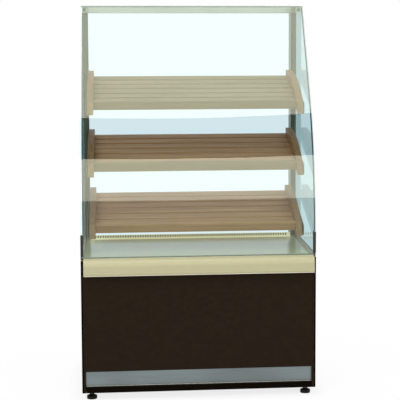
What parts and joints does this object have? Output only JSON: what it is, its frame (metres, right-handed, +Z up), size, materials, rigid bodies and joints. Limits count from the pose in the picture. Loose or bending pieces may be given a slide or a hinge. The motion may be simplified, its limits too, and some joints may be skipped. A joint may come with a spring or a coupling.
{
  "type": "bread display case",
  "caption": "Free-standing bread display case: tilted slatted wood shelves behind a curved tilting front glass, open at the rear, on a storage base with doors and levelling feet.",
  "frame": {"origin": "on the floor, under the middle of the overall box", "axes": "+X to the right seen from the customer's side, +Y to the rear, +Z up"},
  "size_m": [1.04, 0.75, 1.74],
  "materials": {
    "front_laminate": "dark brown laminated board, satin",
    "case_laminate": "black-brown laminated board, satin",
    "inner_laminate": "pale grey laminated board, matt",
    "deck_laminate": "pale laminated board, satin",
    "bumper": "cream extruded moulding, soft gloss",
    "kick_plate": "brushed along its length",
    "upstand": "cream enamel, satin",
    "aluminium": "silver anodised, satin",
    "post_foot": "satin",
    "front_glass": "clear, polished edges",
    "side_glass": "clear, polished edges",
    "top_glass": "clear, polished edges",
    "rubber": "matt black",
    "clamp": "dark grey, satin",
    "bright_steel": "zinc plated",
    "handle": "brushed",
    "catch": "matt white",
    "foot_pad": "matt black",
    "foot_stem": "bright plated",
    "shelf_wood": "clear lacquered pale hardwood",
    "bracket": "silver grey enamel"
  },
  "bodies": {
    "case": {"base_bottom_panel": "inner_laminate", "base_side_panel_left": "case_laminate", "base_side_panel_right": "case_laminate", "bumper_moulding": "bumper", "deck_panel": "deck_laminate", "door_catches": "catch", "door_hinge_pins": "bright_steel", "door_hinges_fixed": "bright_steel", "foot_inserts": "bright_steel", "front_bottom_rail": "case_laminate", "front_glass_seal": "rubber", "front_panel": "front_laminate", "front_top_rail": "case_laminate", "glass_buffers": "rubber", "glass_hinge_brackets": "clamp", "glass_hinge_pins": "bright_steel", "kick_plate": "kick_plate", "plinth_board": "case_laminate", "post_base_plates": "post_foot", "rear_posts": "aluminium", "rear_upstand": "upstand", "shelf_bottom_battens": "shelf_wood", "shelf_bottom_brackets": "bracket", "shelf_bottom_front_lip": "shelf_wood", "shelf_bottom_side_rails": "shelf_wood", "shelf_bottom_slats": "shelf_wood", "shelf_middle_battens": "shelf_wood", "shelf_middle_brackets": "bracket", "shelf_middle_front_lip": "shelf_wood", "shelf_middle_side_rails": "shelf_wood", "shelf_middle_slats": "shelf_wood", "shelf_top_battens": "shelf_wood", "shelf_top_brackets": "bracket", "shelf_top_front_lip": "shelf_wood", "shelf_top_side_rails": "shelf_wood", "shelf_top_slats": "shelf_wood", "side_glass_channels": "aluminium", "side_glass_left": "side_glass", "side_glass_right": "side_glass", "storage_shelf": "inner_laminate", "storage_shelf_pins": "bright_steel", "top_cross_bar": "aluminium", "top_glass": "top_glass", "top_side_rails": "aluminium"},
    "front_glass": {"front_glass": "front_glass", "glass_clamps": "clamp"},
    "left_door": {"storage_door_left": "case_laminate", "door_handle_left": "handle", "door_hinge_leaves_left": "bright_steel"},
    "right_door": {"storage_door_right": "case_laminate", "door_handle_right": "handle", "door_hinge_leaves_right": "bright_steel"},
    "front_left_foot": {"foot_pad_front_left": "foot_pad", "foot_stem_front_left": "foot_stem"},
    "front_right_foot": {"foot_pad_front_right": "foot_pad", "foot_stem_front_right": "foot_stem"},
    "rear_left_foot": {"foot_pad_rear_left": "foot_pad", "foot_stem_rear_left": "foot_stem"},
    "rear_right_foot": {"foot_pad_rear_right": "foot_pad", "foot_stem_rear_right": "foot_stem"}
  },
  "joints": [
    {"name": "front_glass_tilt", "type": "hinge", "parent": "case", "child": "front_glass", "pos_m": [0, -0.313, 0.631], "axis": [1, 0, 0], "range_deg": [0, 35]},
    {"name": "left_door_hinge", "type": "hinge", "parent": "case", "child": "left_door", "pos_m": [-0.5025, 0.3538, 0.33], "axis": [0, 0, 1], "range_deg": [0, 110]},
    {"name": "right_door_hinge", "type": "hinge", "parent": "case", "child": "right_door", "pos_m": [0.5025, 0.3538, 0.33], "axis": [0, 0, -1], "range_deg": [0, 110]},
    {"name": "front_left_foot_height", "type": "slide", "parent": "case", "child": "front_left_foot", "axis": [0, 0, 1], "range_m": [-0.012, 0]},
    {"name": "front_right_foot_height", "type": "slide", "parent": "case", "child": "front_right_foot", "axis": [0, 0, 1], "range_m": [-0.012, 0]},
    {"name": "rear_left_foot_height", "type": "slide", "parent": "case", "child": "rear_left_foot", "axis": [0, 0, 1], "range_m": [-0.012, 0]},
    {"name": "rear_right_foot_height", "type": "slide", "parent": "case", "child": "rear_right_foot", "axis": [0, 0, 1], "range_m": [-0.012, 0]}
  ]
}
